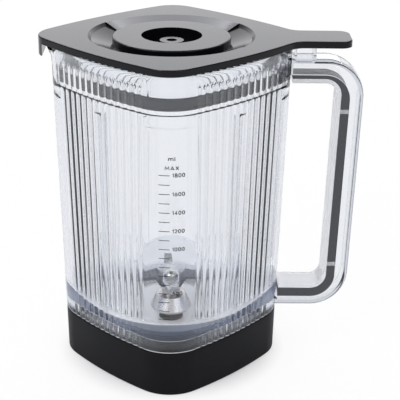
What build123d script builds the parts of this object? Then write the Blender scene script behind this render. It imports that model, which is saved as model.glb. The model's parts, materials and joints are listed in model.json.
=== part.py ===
"""Blender jar: a reeded clear jar with handle, black collar, blade unit, sealed lid and filler cap.

Millimetres. The jar's axis is Z, the collar stands on Z = 0, the handle points along +X
and the panel that carries the scale faces -Y. The jar is square in plan with its corners
on the X and Y axes.
"""
import os
from math import atan2, cos, degrees, hypot, radians, sin, sqrt

from build123d import *

# Clearances
seat_gap = 0.1
body_gap = 0.35
running_gap = 0.05

# Jar in plan: half the width across its sides, and how far the bow of the sides draws its corners in
jar_side_low = 65.6
jar_side_high = 70.2
corner_pull_low = 3.15
corner_pull_high = 4.15
corner_radius = 30.0

# Jar in height: the collar, the jar above it, and places measured from the collar's top or from the rim
collar_height = 33.4
jar_height = 199.2
bowl_edge_rise = 21.6
floor_drop = 9.4
ledge_drop = 26.6
reed_top_drop = 8.6

# Jar walls
wall = 3.5
mouth_wall = 2.3
floor_wall = 4.0
bowl_wall = 14.0
bowl_flat_margin = 7.4
neck_wall = 3.0
neck_length = 6.4

# Reeds on the four sides
reeds_per_side = 13
reed_depth = 1.2
reed_margin = 0.6

# Baffle ribs inside the jar
rib_width = 6.0
rib_depth = 2.4
rib_top_width = 3.0
rib_root = 0.9
rib_drop = 9.0

# Pouring lip
spout_drop = 13.6
spout_reach = 3.6
spout_radius = 22.0
spout_start_depth = 1.0

# Handle: its reach from the jar's corner, and its ends measured from the rim and from the collar
handle_width = 20.0
handle_reach = 50.6
handle_drop = 8.6
handle_rise = 4.1
handle_corner = 27.0
frame_depth = 9.4
frame_depth_top = 11.0
frame_depth_bottom = 7.1
frame_web = 3.2
frame_flange = 2.6
frame_edge_radius = 2.4
core_thickness = 6.1
core_thickness_top = 2.6
core_thickness_bottom = 6.8
cover_thickness = 3.1
handle_root_gap = 0.8
strap_width = 3.0
strap_thickness = 1.0
strap_drop = 37.0
strap_rise = 33.5

# Open block on the handle's arm, under the lid's tab
block_length = 15.0
block_width = 18.0
block_wall = 1.8

# Base collar
collar_draft = 0.65
collar_wall = 3.2
collar_edge_radius = 1.2
socket_radius = 38.0
socket_wall = 2.6
socket_depth = 5.4
web_thickness = 2.6
collar_ribs = 12
collar_rib_thickness = 1.8
collar_rib_inset = 1.6

# Collar screws
screw_offset = 9.0
screw_count = 4
screw_boss_radius = 4.6
screw_shank_radius = 1.75
screw_head_radius = 3.4
screw_head_height = 2.2
screw_length = 14.0
screw_recess = 1.5
screw_recess_depth = 1.2
pilot_spare = 2.0

# Bearing housing: radii built up from the shaft, and heights measured from the jar's floor
shaft_radius = 4.0
shaft_tip_radius = 3.0
bush_wall = 2.0
bush_length = 8.0
housing_hub_wall = 1.4
housing_tail_wall = 1.3
housing_shoulder_width = 3.0
housing_shoulder_step = 1.0
housing_bulb_width = 4.2
housing_bulb_fillet = 2.0
housing_waist_width = 0.7
housing_flange_width = 1.6
housing_flange_height = 1.4
housing_bulb_rise = 9.0
housing_shoulder_rise = 19.0
housing_rise = 26.0
seal_height = 2.0
floor_gasket_thickness = 1.0
lock_washer_thickness = 0.8
lock_washer_width = 3.7
nut_wall = 2.7
nut_height = 4.0

# Rotor
circlip_gap = 2.8
circlip_thickness = 0.8
circlip_width = 1.5
circlip_groove = 0.5
thrust_washer_thickness = 0.6
thrust_washer_width = 2.6
spacer_height = 1.0
spacer_width = 2.2
blade_thickness = 1.5
blade_washer_thickness = 0.9
blade_washer_width = 2.0
lower_blade_width = 18.0
lower_blade_tip = 11.0
lower_blade_flat = 7.5
lower_blade_knee = 12.0
lower_blade_reach = 30.0
lower_blade_lift = 6.0
lower_blade_tip_lift = 3.0
upper_blade_width = 12.5
upper_blade_tip = 6.0
upper_blade_flat = 8.0
upper_blade_knee = 24.5
upper_blade_reach = 28.5
upper_blade_lift = 1.2
upper_blade_tip_lift = 6.0
blade_bevel = 2.2
blade_edge = 0.4
blade_nut_flats = 9.6
blade_nut_hexagon = 2.6
blade_nut_dome = 3.0
coupling_radius = 17.0
coupling_plate = 2.2
coupling_depth = 3.5
coupling_hub_wall = 3.0
coupling_teeth = 6
coupling_tooth_radius = 2.6
coupling_tooth_inset = 3.8
coupling_ring_wall = 1.4

# Lid cover: heights measured from the rim and from its own top, radii built up from the hole
lid_gap = 0.6
lid_thickness = 4.8
lid_overhang = 4.5
lid_side_bow = 5.4
lid_corner_radius = 20.0
lid_edge_radius = 1.0
lid_wall = 2.6
tab_length = 31.0
tab_width = 30.0
tab_corner_radius = 8.0
tab_neck_radius = 12.0
hole_radius = 31.5
hole_wall = 2.4
hole_tube_length = 15.4
dish_depth = 5.6
dish_floor_margin = 3.0
dish_slope_width = 12.5
scoop_half_angle = 34.0
scoop_depth = 2.8
scoop_lip = 2.2
drip_lip_width = 22.0
drip_lip_thickness = 3.0
drip_lip_length = 8.2
drip_lip_gap = 1.2
drip_lip_inset = 1.0

# Lid skirt and gasket
skirt_gap = 2.2
skirt_wall = 2.4
skirt_rise = 2.6
skirt_flange = 7.0
skirt_flange_thickness = 2.4
gasket_rise = 0.4
gasket_height = 8.0
gasket_fin = 1.4
gasket_groove = 1.0

# Filler cap
cap_overlap = 9.0
cap_sink = 0.4
cap_edge_radius = 1.2
cap_wall = 2.4
cap_plug_gap = 1.1
cap_plug_length = 18.4
cap_well_radius = 20.8
cap_well_depth = 9.0
cap_boss_radius = 8.2
cap_boss_height = 5.6
cap_dimple_radius = 3.6
cap_dimple_depth = 1.2
cap_gasket_drop = 8.4
cap_gasket_height = 2.0
cap_gasket_bite = 1.0

FULL_TURN = 360
HALF_TURN = 180
CORNER_TURN = 90
SIDE_TURN = CORNER_TURN / 2
CORNERS = 4
NUT_SIDES = 6
DIAGONAL = sqrt(2)
CUT_SPARE = 2.0

# Heights that follow from the driving sizes
rim_height = collar_height + jar_height
jar_foot = collar_height + seat_gap
neck_bottom = jar_foot - neck_length
bowl_edge_height = collar_height + bowl_edge_rise
under_edge = bowl_edge_height - bowl_wall
floor_height = collar_height - floor_drop
under_floor = floor_height - floor_wall
ledge_height = rim_height - ledge_drop
reed_top_height = rim_height - reed_top_drop
rib_height = ledge_height - rib_drop
spout_start_height = rim_height - spout_drop
web_top = socket_depth + web_thickness
handle_top = rim_height - handle_drop
handle_bottom = collar_height + handle_rise
lid_bottom = rim_height + lid_gap
lid_top = lid_bottom + lid_thickness
dish_floor_height = lid_top - dish_depth
hole_tube_bottom = dish_floor_height - hole_tube_length
drip_lip_bottom = lid_bottom - drip_lip_length
skirt_bottom = ledge_height + skirt_rise
gasket_bottom = skirt_bottom + gasket_rise
gasket_top = gasket_bottom + gasket_height
cap_top = lid_top - cap_sink
cap_plug_bottom = dish_floor_height - cap_plug_length
cap_gasket_top = dish_floor_height - cap_gasket_drop
cap_gasket_bottom = cap_gasket_top - cap_gasket_height

# Radii that follow from the driving sizes
bush_radius = shaft_radius + bush_wall
running_radius = shaft_radius + running_gap
housing_hub_radius = bush_radius + housing_hub_wall
housing_tail_radius = bush_radius + housing_tail_wall
housing_shoulder_radius = housing_hub_radius + housing_shoulder_width
housing_bulb_radius = housing_shoulder_radius + housing_bulb_width
housing_waist_radius = housing_tail_radius + housing_waist_width
housing_flange_radius = housing_waist_radius + housing_flange_width
tail_hole_radius = housing_tail_radius + seat_gap
bowl_flat_radius = housing_flange_radius + bowl_flat_margin
screw_circle = socket_radius + screw_offset
cap_radius = hole_radius + cap_overlap
cap_plug_radius = hole_radius - cap_plug_gap
dish_floor_radius = cap_radius + dish_floor_margin
dish_rim_radius = dish_floor_radius + dish_slope_width

# Stack of the blade unit, from the floor upwards and downwards
flange_bottom = floor_height + floor_gasket_thickness
flange_top = flange_bottom + housing_flange_height
housing_top = floor_height + housing_rise
housing_shoulder_height = floor_height + housing_shoulder_rise
upper_bush_top = housing_top - seal_height
upper_bush_bottom = upper_bush_top - bush_length
circlip_top = upper_bush_bottom - circlip_gap
circlip_bottom = circlip_top - circlip_thickness
lock_washer_bottom = under_floor - lock_washer_thickness
nut_bottom = lock_washer_bottom - nut_height
thrust_washer_top = nut_bottom - body_gap
thrust_washer_bottom = thrust_washer_top - thrust_washer_thickness
coupling_plate_bottom = thrust_washer_bottom - coupling_plate
coupling_bottom = coupling_plate_bottom - coupling_depth
spacer_bottom = housing_top + body_gap
lower_blade_bottom = spacer_bottom + spacer_height
lower_blade_top = lower_blade_bottom + blade_thickness
upper_blade_bottom = lower_blade_top + blade_washer_thickness
upper_blade_top = upper_blade_bottom + blade_thickness
shaft_top = upper_blade_top + blade_nut_hexagon
blade_nut_top = shaft_top + blade_nut_dome

# Bends of the blades' arms: distance from the axis and rise
lower_blade_bends = (
    (lower_blade_flat, 0.0),
    (lower_blade_knee, lower_blade_lift),
    (lower_blade_reach, lower_blade_tip_lift),
)
upper_blade_bends = (
    (upper_blade_flat, 0.0),
    (upper_blade_knee, upper_blade_lift),
    (upper_blade_reach, upper_blade_tip_lift),
)

# Depths of the handle's layers inside its outer line: along the grip, the top arm and the bottom arm
frame_layer = (frame_depth, frame_depth_top, frame_depth_bottom)
core_layer = (
    frame_depth + core_thickness,
    frame_depth_top + core_thickness_top,
    frame_depth_bottom + core_thickness_bottom,
)
cover_layer = tuple(depth + cover_thickness for depth in core_layer)


def at_angle(angle, radius, centre=(0.0, 0.0)):
    """Point at an angle in degrees and a radius from a centre, in plan."""
    return (centre[0] + radius * cos(radians(angle)), centre[1] + radius * sin(radians(angle)))


def at_height(low, high, z):
    """Value at height z on the straight line of the jar's taper between its two ends."""
    return low + (high - low) * (z - collar_height) / jar_height


def jar_sizes(z, inset=0.0):
    """Half diagonal, half side and corner radius of the jar's outline at height z."""
    half_side = at_height(jar_side_low, jar_side_high, z)
    pull = at_height(corner_pull_low, corner_pull_high, z)
    half_diagonal = DIAGONAL * (half_side - corner_radius) + corner_radius - pull
    return half_diagonal - inset, half_side - inset, corner_radius - inset


def jar_corner_at(z):
    """Distance from the axis to the jar's outer corner at height z."""
    return jar_sizes(z)[0]


def neck_sizes(inset):
    """Sizes of the upright outline inside the collar's wall, moved inwards by inset."""
    return jar_sizes(collar_height, collar_draft + inset)


def square_geometry(half_diagonal, half_side, radius):
    """Corner distance, side centre offset, side radius and corner half angle of a bowed square."""
    corner = half_diagonal - radius
    side = half_side - radius
    offset = (corner**2 - side**2) / (DIAGONAL * (DIAGONAL * side - corner))
    half_angle = degrees(atan2(offset / DIAGONAL, corner + offset / DIAGONAL))
    return corner, offset, half_side + offset, half_angle


def arc_between(start, end, radius, centre=(0.0, 0.0)):
    """Arc between two angles about a centre."""
    middle = (start + end) / 2
    return ThreePointArc(*[at_angle(angle, radius, centre) for angle in (start, middle, end)])


def face_of(edges, z):
    """Face bounded by a closed run of edges, lifted to height z."""
    return Pos(0, 0, z) * make_face(Curve() + edges).face()


def bowed_square(z, half_diagonal, half_side, radius):
    """Square outline with round corners on the axes and gently bowed sides."""
    corner, offset, side_radius, half_angle = square_geometry(half_diagonal, half_side, radius)
    edges = []
    for index in range(CORNERS):
        turn = index * CORNER_TURN
        edges.append(arc_between(turn - half_angle, turn + half_angle, radius, at_angle(turn, corner)))
        side_centre = at_angle(turn + SIDE_TURN, -offset)
        side_end = turn + CORNER_TURN - half_angle
        edges.append(arc_between(turn + half_angle, side_end, side_radius, side_centre))
    return face_of(edges, z)


def reeded_square(z, half_diagonal, half_side, radius):
    """Bowed square whose sides are rows of convex reeds between smooth corner panels."""
    corner, offset, side_radius, half_angle = square_geometry(half_diagonal, half_side, radius)
    margin = degrees(reed_margin / side_radius)
    edges = []
    for index in range(CORNERS):
        turn = index * CORNER_TURN
        edges.append(arc_between(turn - half_angle, turn + half_angle, radius, at_angle(turn, corner)))
        side_centre = at_angle(turn + SIDE_TURN, -offset)
        first = turn + half_angle
        last = turn + CORNER_TURN - half_angle
        pitch = (last - first - 2 * margin) / reeds_per_side
        valleys = [first + margin + pitch * step for step in range(reeds_per_side + 1)]
        valley_points = [at_angle(angle, side_radius - reed_depth, side_centre) for angle in valleys]
        edges.append(Line(at_angle(first, side_radius, side_centre), valley_points[0]))
        for step in range(reeds_per_side):
            crest = at_angle(valleys[step] + pitch / 2, side_radius, side_centre)
            edges.append(ThreePointArc(valley_points[step], crest, valley_points[step + 1]))
        edges.append(Line(valley_points[-1], at_angle(last, side_radius, side_centre)))
    return face_of(edges, z)


def round_outline(z, radius, half_angle):
    """Circle split at the same angles as a bowed square, so that the two can be lofted."""
    edges = []
    for index in range(CORNERS):
        turn = index * CORNER_TURN
        edges.append(arc_between(turn - half_angle, turn + half_angle, radius))
        edges.append(arc_between(turn + half_angle, turn + CORNER_TURN - half_angle, radius))
    return face_of(edges, z)


def jar_column(low, high, inset=0.0):
    """Solid inside the jar's smooth outline between two heights, moved inwards by inset."""
    return loft([bowed_square(z, *jar_sizes(z, inset)) for z in (low, high)], ruled=True)


def neck_column(low, high, inset):
    """Upright solid inside the collar's outline between two heights, moved inwards by inset."""
    return extrude(bowed_square(low, *neck_sizes(inset)), high - low)


def funnel(z_floor, radius, z_edge, sizes):
    """Solid that narrows from a bowed square down to a round floor."""
    half_angle = square_geometry(*sizes)[3]
    return loft([round_outline(z_floor, radius, half_angle), bowed_square(z_edge, *sizes)], ruled=True)


def disc(radius, low, high):
    """Round disc or rod on the jar's axis between two heights."""
    return Pos(0, 0, low) * Cylinder(radius, high - low, align=(Align.CENTER, Align.CENTER, Align.MIN))


def ring(outer, inner, low, high):
    """Round ring on the jar's axis between two heights."""
    return disc(outer, low, high) - disc(inner, low, high)


def upright_face(points):
    """Face in the plane through the jar's axis, from (distance, height) points."""
    return make_face(Polyline([(x, 0, z) for x, z in points], close=True))


def turned(points):
    """Solid of revolution about the jar's axis from (radius, height) points."""
    return revolve(upright_face(points), Axis.Z)


def block(x_range, y_range, z_range):
    """Box between two corners."""
    size = [high - low for low, high in (x_range, y_range, z_range)]
    return Pos(x_range[0], y_range[0], z_range[0]) * Box(*size, align=Align.MIN)


def around(solid, count, start=0.0):
    """Copies of a solid spaced evenly round the jar's axis."""
    return [Rot(0, 0, start + index * FULL_TURN / count) * solid for index in range(count)]


def handle_x(z, depth):
    """Distance from the axis to a line of the grip that lies depth inside its outer face."""
    return jar_corner_at(z) + handle_reach - depth


def handle_outline(layer, root):
    """Area that a layer of the handle encloses, seen from the side, from the jar's wall outwards."""
    depth, depth_top, depth_bottom = layer
    top = handle_top - depth_top
    bottom = handle_bottom + depth_bottom
    outline = upright_face(
        [
            (jar_corner_at(bottom) + root, bottom),
            (handle_x(bottom, depth), bottom),
            (handle_x(top, depth), top),
            (jar_corner_at(top) + root, top),
        ]
    )
    outer_corners = outline.vertices().sort_by(Axis.X)[-2:]
    return fillet(outer_corners, handle_corner - depth)


def inside(layer, gap=seat_gap):
    """Layer that lies a small gap inside another."""
    return tuple(depth + gap for depth in layer)


def handle_slab(layer, root, width=handle_width):
    """Handle's layer outline, extruded to both sides of the plane through the jar's axis."""
    return extrude(handle_outline(layer, root), width / 2, both=True)


def make_handle_frame():
    """Outer channel of the handle, open towards the fingers, with the open block under the lid's tab."""
    solid = handle_slab((0.0, 0.0, 0.0), -wall)
    long_edges = []
    for edge in solid.edges():
        middle = edge @ 0.5
        if abs(middle.Y) > handle_width / 2 - seat_gap and middle.X > jar_corner_at(rim_height):
            long_edges.append(edge)
    solid = fillet(long_edges, frame_edge_radius)
    solid = solid - handle_slab(frame_layer, -2 * wall, handle_width + CUT_SPARE)
    web_layer = (frame_web, frame_web, frame_web)
    hollow = handle_outline(web_layer, handle_root_gap) - handle_outline(frame_layer, 0.0)
    solid = solid - extrude(hollow, handle_width / 2 - frame_flange, both=True)
    return solid + make_tab_block() - jar_column(jar_foot, rim_height, -seat_gap)


def make_tab_block():
    """Open-topped block on the handle's top arm."""
    start = jar_corner_at(rim_height) + handle_root_gap
    high = lid_bottom - body_gap
    half = block_width / 2
    solid = block((start, start + block_length), (-half, half), (handle_top - frame_web / 2, high))
    inner_half = half - block_wall
    inner_x = (start + block_wall, start + block_length - block_wall)
    return solid - block(inner_x, (-inner_half, inner_half), (handle_top, high + CUT_SPARE))


def strap_boxes(inner_depth, outer_depth, side_gap):
    """Places of the four snap straps, on both sides of the handle at two heights."""
    boxes = []
    for z in (handle_bottom + strap_rise, handle_top - strap_drop):
        for side in (-1, 1):
            face = side * handle_width / 2
            inner = face - side * (strap_thickness + side_gap)
            boxes.append(
                block(
                    (handle_x(z, inner_depth), handle_x(z, outer_depth)),
                    sorted((inner, face)),
                    (z - strap_width / 2 - side_gap, z + strap_width / 2 + side_gap),
                )
            )
    return boxes


def make_handle_core():
    """Grey strip that closes the channel, thin along the top arm."""
    solid = handle_slab(inside(frame_layer), handle_root_gap)
    solid = solid - handle_slab(core_layer, 0.0, handle_width + CUT_SPARE)
    for notch in strap_boxes(core_layer[0] + CUT_SPARE, frame_depth - CUT_SPARE, seat_gap):
        solid = solid - notch
    return solid


def make_handle_cover():
    """Clear strip on the finger side, with four straps that snap over the core to the channel."""
    solid = handle_slab(inside(core_layer), handle_root_gap)
    solid = solid - handle_slab(cover_layer, 0.0, handle_width + CUT_SPARE)
    for strap in strap_boxes(core_layer[0] + cover_thickness / 2, frame_depth + seat_gap, 0.0):
        solid = solid + strap
    return solid


def spout_cone(inset, spare=0.0):
    """Flared cone at the corner opposite the handle, for the lip or for its channel."""
    centre = jar_corner_at(rim_height) + spout_reach - spout_radius
    low_radius = jar_corner_at(spout_start_height) - centre - spout_start_depth
    flare = (spout_radius - low_radius) / spout_drop
    cone = Cone(
        low_radius - inset,
        spout_radius - inset + flare * spare,
        spout_drop + spare,
        align=(Align.CENTER, Align.CENTER, Align.MIN),
    )
    return Pos(-centre, 0, spout_start_height) * cone


def bowl_height_at(radius):
    """Height of the bowl's conical floor at a distance from the axis."""
    edge_radius = jar_sizes(bowl_edge_height, wall)[0]
    slope = (bowl_edge_height - floor_height) / (edge_radius - bowl_flat_radius)
    return floor_height + slope * (radius - bowl_flat_radius)


def make_inside():
    """Space inside the walls, over a conical floor that meets the corners higher than the sides."""
    reach = jar_corner_at(rim_height)
    bowl = turned(
        [
            (0, floor_height),
            (bowl_flat_radius, floor_height),
            (reach, bowl_height_at(reach)),
            (reach, ledge_height),
            (0, ledge_height),
        ]
    )
    return bowl & jar_column(floor_height, ledge_height, wall)


def make_baffle_rib():
    """Upright rib inside the wall, at the middle of one side, from the bowl upwards."""
    slices = []
    rib_foot = bowl_height_at(jar_sizes(bowl_edge_height, wall)[1] - rib_depth) - rib_root
    for z in (rib_foot, rib_height):
        inner_face = jar_sizes(z, wall)[1]
        root = inner_face + rib_root
        crest = inner_face - rib_depth
        corners = [
            (root, -rib_width / 2, z),
            (root, rib_width / 2, z),
            (crest, rib_top_width / 2, z),
            (crest, -rib_top_width / 2, z),
        ]
        slices.append(make_face(Polyline(corners, close=True)).face())
    return loft(slices, ruled=True)


def make_jar_body():
    """Clear jar: reeded walls, rim, lip, bowl floor, neck inside the collar, screw posts and ribs."""
    reeded = [reeded_square(z, *jar_sizes(z)) for z in (jar_foot, reed_top_height)]
    solid = loft(reeded, ruled=True)
    solid = solid + jar_column(reed_top_height, rim_height) + spout_cone(0.0)
    neck_inset = collar_wall + seat_gap
    solid = solid + neck_column(web_top, jar_foot + seat_gap, neck_inset)
    under_inset = neck_inset + neck_wall
    under = neck_column(neck_bottom, under_edge, under_inset)
    under = under + neck_column(web_top - CUT_SPARE, neck_bottom, neck_inset - CUT_SPARE)
    under = under - funnel(under_floor, bowl_flat_radius, under_edge, neck_sizes(under_inset))
    post = Pos(screw_circle, 0, 0) * disc(screw_boss_radius, web_top, under_edge)
    solid = solid - (under - around(post, screw_count))
    hollow = make_inside() + jar_column(ledge_height, rim_height + CUT_SPARE, mouth_wall)
    solid = solid - hollow - spout_cone(mouth_wall, CUT_SPARE)
    pilot_top = socket_depth - screw_head_height + screw_length + pilot_spare
    pilot = Pos(screw_circle, 0, 0) * disc(screw_shank_radius + seat_gap, 0, pilot_top)
    solid = solid - around(pilot, screw_count)
    solid = solid - disc(tail_hole_radius, 0, floor_height + CUT_SPARE)
    for rib in around(make_baffle_rib(), CORNERS, SIDE_TURN):
        solid = solid + rib
    return solid


def make_base_collar():
    """Black collar: bowed square wall, web with the drive socket, ribs and screw seats."""
    low = bowed_square(0, *neck_sizes(0.0))
    high = bowed_square(collar_height, *jar_sizes(collar_height))
    solid = loft([low, high], ruled=True)
    rims = [edge for edge in solid.edges() if edge.bounding_box().size.Z < seat_gap]
    solid = fillet(rims, collar_edge_radius)
    solid = solid - neck_column(web_top, collar_height + CUT_SPARE, collar_wall)
    under = neck_column(-CUT_SPARE, socket_depth, collar_wall)
    under = under - disc(socket_radius + socket_wall, -CUT_SPARE, socket_depth)
    rib_start = socket_radius + socket_wall / 2
    rib_end = neck_sizes(0.0)[0]
    rib_half = collar_rib_thickness / 2
    rib = block((rib_start, rib_end), (-rib_half, rib_half), (collar_rib_inset, socket_depth))
    under = under - around(rib, collar_ribs, HALF_TURN / collar_ribs)
    seat = Pos(screw_circle, 0, 0) * disc(screw_boss_radius, collar_rib_inset, socket_depth)
    under = under - around(seat, screw_count)
    solid = solid - under - disc(socket_radius, -CUT_SPARE, web_top + CUT_SPARE)
    head_room = screw_head_radius + body_gap
    hole = disc(screw_shank_radius + seat_gap, 0, web_top) + disc(head_room, 0, socket_depth)
    return solid - around(Pos(screw_circle, 0, 0) * hole, screw_count)


def make_collar_screws():
    """Four pan-head screws that hold the collar to the jar's posts."""
    head_bottom = socket_depth - screw_head_height
    head = disc(screw_head_radius, head_bottom, socket_depth)
    shank = disc(screw_shank_radius, head_bottom, head_bottom + screw_length)
    recess_reach = screw_head_radius / DIAGONAL
    recess_half = screw_recess / 2
    slot = block(
        (-recess_reach, recess_reach),
        (-recess_half, recess_half),
        (head_bottom, head_bottom + screw_recess_depth),
    )
    screw = head + shank - slot - Rot(0, 0, CORNER_TURN) * slot
    return Compound(children=around(Pos(screw_circle, 0, 0) * screw, screw_count))


def make_bearing_housing():
    """Turned stainless housing: bulb above the floor, flange on the gasket and tail through the floor."""
    solid = turned(
        [
            (0, nut_bottom),
            (housing_tail_radius, nut_bottom),
            (housing_tail_radius, flange_bottom),
            (housing_flange_radius, flange_bottom),
            (housing_flange_radius, flange_top),
            (housing_waist_radius, flange_top),
            (housing_bulb_radius, floor_height + housing_bulb_rise),
            (housing_shoulder_radius, housing_shoulder_height),
            (housing_hub_radius, housing_shoulder_height + housing_shoulder_step),
            (housing_hub_radius, housing_top),
            (0, housing_top),
        ]
    )
    bulb_edge = solid.edges().filter_by(GeomType.CIRCLE).sort_by(SortBy.RADIUS)[-1]
    solid = fillet(bulb_edge, housing_bulb_fillet)
    return solid - disc(bush_radius, nut_bottom, housing_top)


def hexagon_prism(flats, low, height):
    """Hexagon across its flats, standing on a height."""
    return extrude(Pos(0, 0, low) * RegularPolygon(flats / 2, NUT_SIDES, major_radius=False), height)


def make_retaining_nut():
    """Hexagon nut on the housing's tail, under the floor."""
    solid = hexagon_prism(2 * (housing_tail_radius + nut_wall), nut_bottom, nut_height)
    return solid - disc(tail_hole_radius, nut_bottom, lock_washer_bottom)


def make_shaft():
    """Drive shaft with a circlip groove and a threaded tip."""
    solid = disc(shaft_radius, coupling_bottom, upper_blade_top)
    solid = solid + disc(shaft_tip_radius, upper_blade_top, shaft_top - seat_gap)
    return solid - ring(shaft_radius + CUT_SPARE, shaft_radius - circlip_groove, circlip_bottom, circlip_top)


def make_circlip():
    """Open retaining ring in the shaft's groove."""
    outer = shaft_radius + circlip_width
    solid = ring(outer, shaft_radius - circlip_groove + running_gap, circlip_bottom, circlip_top)
    opening = shaft_radius / 2
    return solid - block((0, 2 * outer), (-opening, opening), (circlip_bottom, circlip_top))


def make_blade(bends, width, tip, bottom):
    """Two-armed blade, bent on both sides of its flat centre, with ground cutting edges."""
    arm = [(x, bottom + rise) for x, rise in bends]
    lower_line = [(-x, z) for x, z in reversed(arm)] + arm
    upper_line = [(x, z + blade_thickness) for x, z in reversed(lower_line)]
    sheet = extrude(upright_face(lower_line + upper_line), width, both=True)
    flat = bends[0][0]
    reach = bends[-1][0]
    edge = width / 2
    plan = [
        (-reach, -edge),
        (-flat, -edge),
        (flat, -edge),
        (reach, edge - tip),
        (reach, edge),
        (flat, edge),
        (-flat, edge),
        (-reach, tip - edge),
    ]
    outline = make_face(Polyline(plan, close=True))
    blade = sheet & extrude(outline, rim_height)
    cutting_run = max(zip(arm, arm[1:]), key=lambda run: run[1][0] - run[0][0])
    bevel = make_blade_bevel(*cutting_run, edge)
    blade = blade - bevel - Rot(0, 0, HALF_TURN) * bevel
    return blade - disc(running_radius, bottom - CUT_SPARE, blade_nut_top)


def make_blade_bevel(start, end, edge):
    """Wedge that is ground off the straight edge of one arm, between two of its bends."""
    section = [
        (0, edge - blade_bevel, blade_thickness),
        (0, edge + blade_bevel, blade_thickness),
        (0, edge + blade_bevel, 0),
        (0, edge, blade_edge),
    ]
    run = end[0] - start[0]
    rise = end[1] - start[1]
    wedge = extrude(make_face(Polyline(section, close=True)), hypot(run, rise), dir=(1, 0, 0))
    return Pos(start[0], 0, start[1]) * Rot(0, -degrees(atan2(rise, run)), 0) * wedge


def make_blade_nut():
    """Domed cap nut on the shaft's threaded tip."""
    solid = hexagon_prism(blade_nut_flats, upper_blade_top, blade_nut_hexagon)
    dome_foot = blade_nut_flats / 2
    dome_radius = (dome_foot**2 + blade_nut_dome**2) / (2 * blade_nut_dome)
    ball = Pos(0, 0, blade_nut_top - dome_radius) * Sphere(dome_radius)
    solid = solid + (ball & disc(dome_foot, shaft_top, blade_nut_top))
    return solid - disc(shaft_tip_radius + running_gap, upper_blade_top, shaft_top)


def make_drive_coupling():
    """Toothed cup under the shaft, which drops onto the motor's star."""
    inner = coupling_radius - coupling_ring_wall
    solid = disc(coupling_radius, coupling_plate_bottom, thrust_washer_bottom)
    solid = solid + ring(coupling_radius, inner, coupling_bottom, coupling_plate_bottom)
    solid = solid + disc(shaft_radius + coupling_hub_wall, coupling_bottom, coupling_plate_bottom)
    tooth = disc(coupling_tooth_radius, coupling_bottom, coupling_plate_bottom)
    tooth = Pos(coupling_radius - coupling_tooth_inset, 0, 0) * tooth
    for copy in around(tooth, coupling_teeth):
        solid = solid + copy
    return solid - disc(running_radius, coupling_bottom, thrust_washer_bottom)


# Lid in plan, from the jar's rim, its pouring lip and the drip lip in front of it
drip_lip_inner = jar_corner_at(rim_height) + spout_reach + drip_lip_gap
lid_corner_x = drip_lip_inner + drip_lip_thickness + drip_lip_inset
lid_corner_y = jar_corner_at(rim_height) + lid_overhang
tab_reach = lid_corner_x + tab_length


def lid_tip(corner, other):
    """Distance to the sharp tip of two bowed sides whose rounded corner reaches a given distance."""
    bow_angle = 2 * atan2(2 * lid_side_bow, hypot(corner, other))
    half_angle = atan2(other, corner) + bow_angle
    return corner + lid_corner_radius / sin(half_angle) - lid_corner_radius


def lid_outline():
    """Plan of the lid: four bowed sides between round corners, and the thumb tab."""
    tip_x = lid_tip(lid_corner_x, lid_corner_y)
    tip_y = lid_tip(lid_corner_y, lid_corner_x)
    tips = [(tip_x, 0), (0, tip_y), (-tip_x, 0), (0, -tip_y)]
    edges = []
    for index in range(CORNERS):
        start = tips[index]
        end = tips[(index + 1) % CORNERS]
        middle = ((start[0] + end[0]) / 2, (start[1] + end[1]) / 2)
        reach = hypot(*middle)
        bowed = tuple(value * (reach + lid_side_bow) / reach for value in middle)
        edges.append(ThreePointArc(start, bowed, end))
    plate = make_face(Curve() + edges)
    plate = fillet(plate.vertices(), lid_corner_radius)
    tab = Pos(tab_reach / 2, 0) * Rectangle(tab_reach, tab_width)
    tab = fillet(tab.vertices().group_by(Axis.X)[-1], tab_corner_radius)
    joined = plate + tab
    neck = [v for v in joined.vertices() if abs(abs(v.Y) - tab_width / 2) < seat_gap and v.X < lid_corner_x]
    return fillet(neck, tab_neck_radius)


def lid_plate(low, high):
    """Slab of the lid's plan between two heights."""
    return extrude(Pos(0, 0, low) * lid_outline(), high - low)


def make_lid_cover():
    """Black lid: plate with tab and drip lip, dished centre with finger scoops and a round hole."""
    solid = lid_plate(lid_bottom, lid_top)
    rims = [edge for edge in solid.edges() if abs((edge @ 0.5).Z - lid_top) < seat_gap]
    solid = fillet(rims, lid_edge_radius)
    tub_radius = dish_rim_radius + lid_wall
    tub_bottom = dish_floor_height - lid_wall
    tub_top = lid_top - lid_edge_radius
    solid = solid + turned(
        [
            (0, tub_bottom),
            (dish_floor_radius + lid_wall, tub_bottom),
            (tub_radius, lid_bottom),
            (tub_radius, tub_top),
            (0, tub_top),
        ]
    )
    solid = solid + disc(hole_radius + hole_wall, hole_tube_bottom, dish_floor_height)
    for sector in scoop_sectors(lid_wall):
        solid = solid + (sector & disc(lid_corner_x, hole_tube_bottom, tub_top))
    solid = solid - turned(
        [
            (0, dish_floor_height),
            (dish_floor_radius, dish_floor_height),
            (dish_rim_radius, lid_top),
            (dish_rim_radius, lid_top + CUT_SPARE),
            (0, lid_top + CUT_SPARE),
        ]
    )
    solid = solid - scoop_sectors(0.0)
    solid = solid - disc(hole_radius, hole_tube_bottom - CUT_SPARE, lid_top)
    lip_half = drip_lip_width / 2
    lip_outer = drip_lip_inner + drip_lip_thickness
    lip = block((-lip_outer, -drip_lip_inner), (-lip_half, lip_half), (drip_lip_bottom, lid_bottom))
    return solid + (lip & lid_plate(drip_lip_bottom, lid_bottom))


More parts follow.
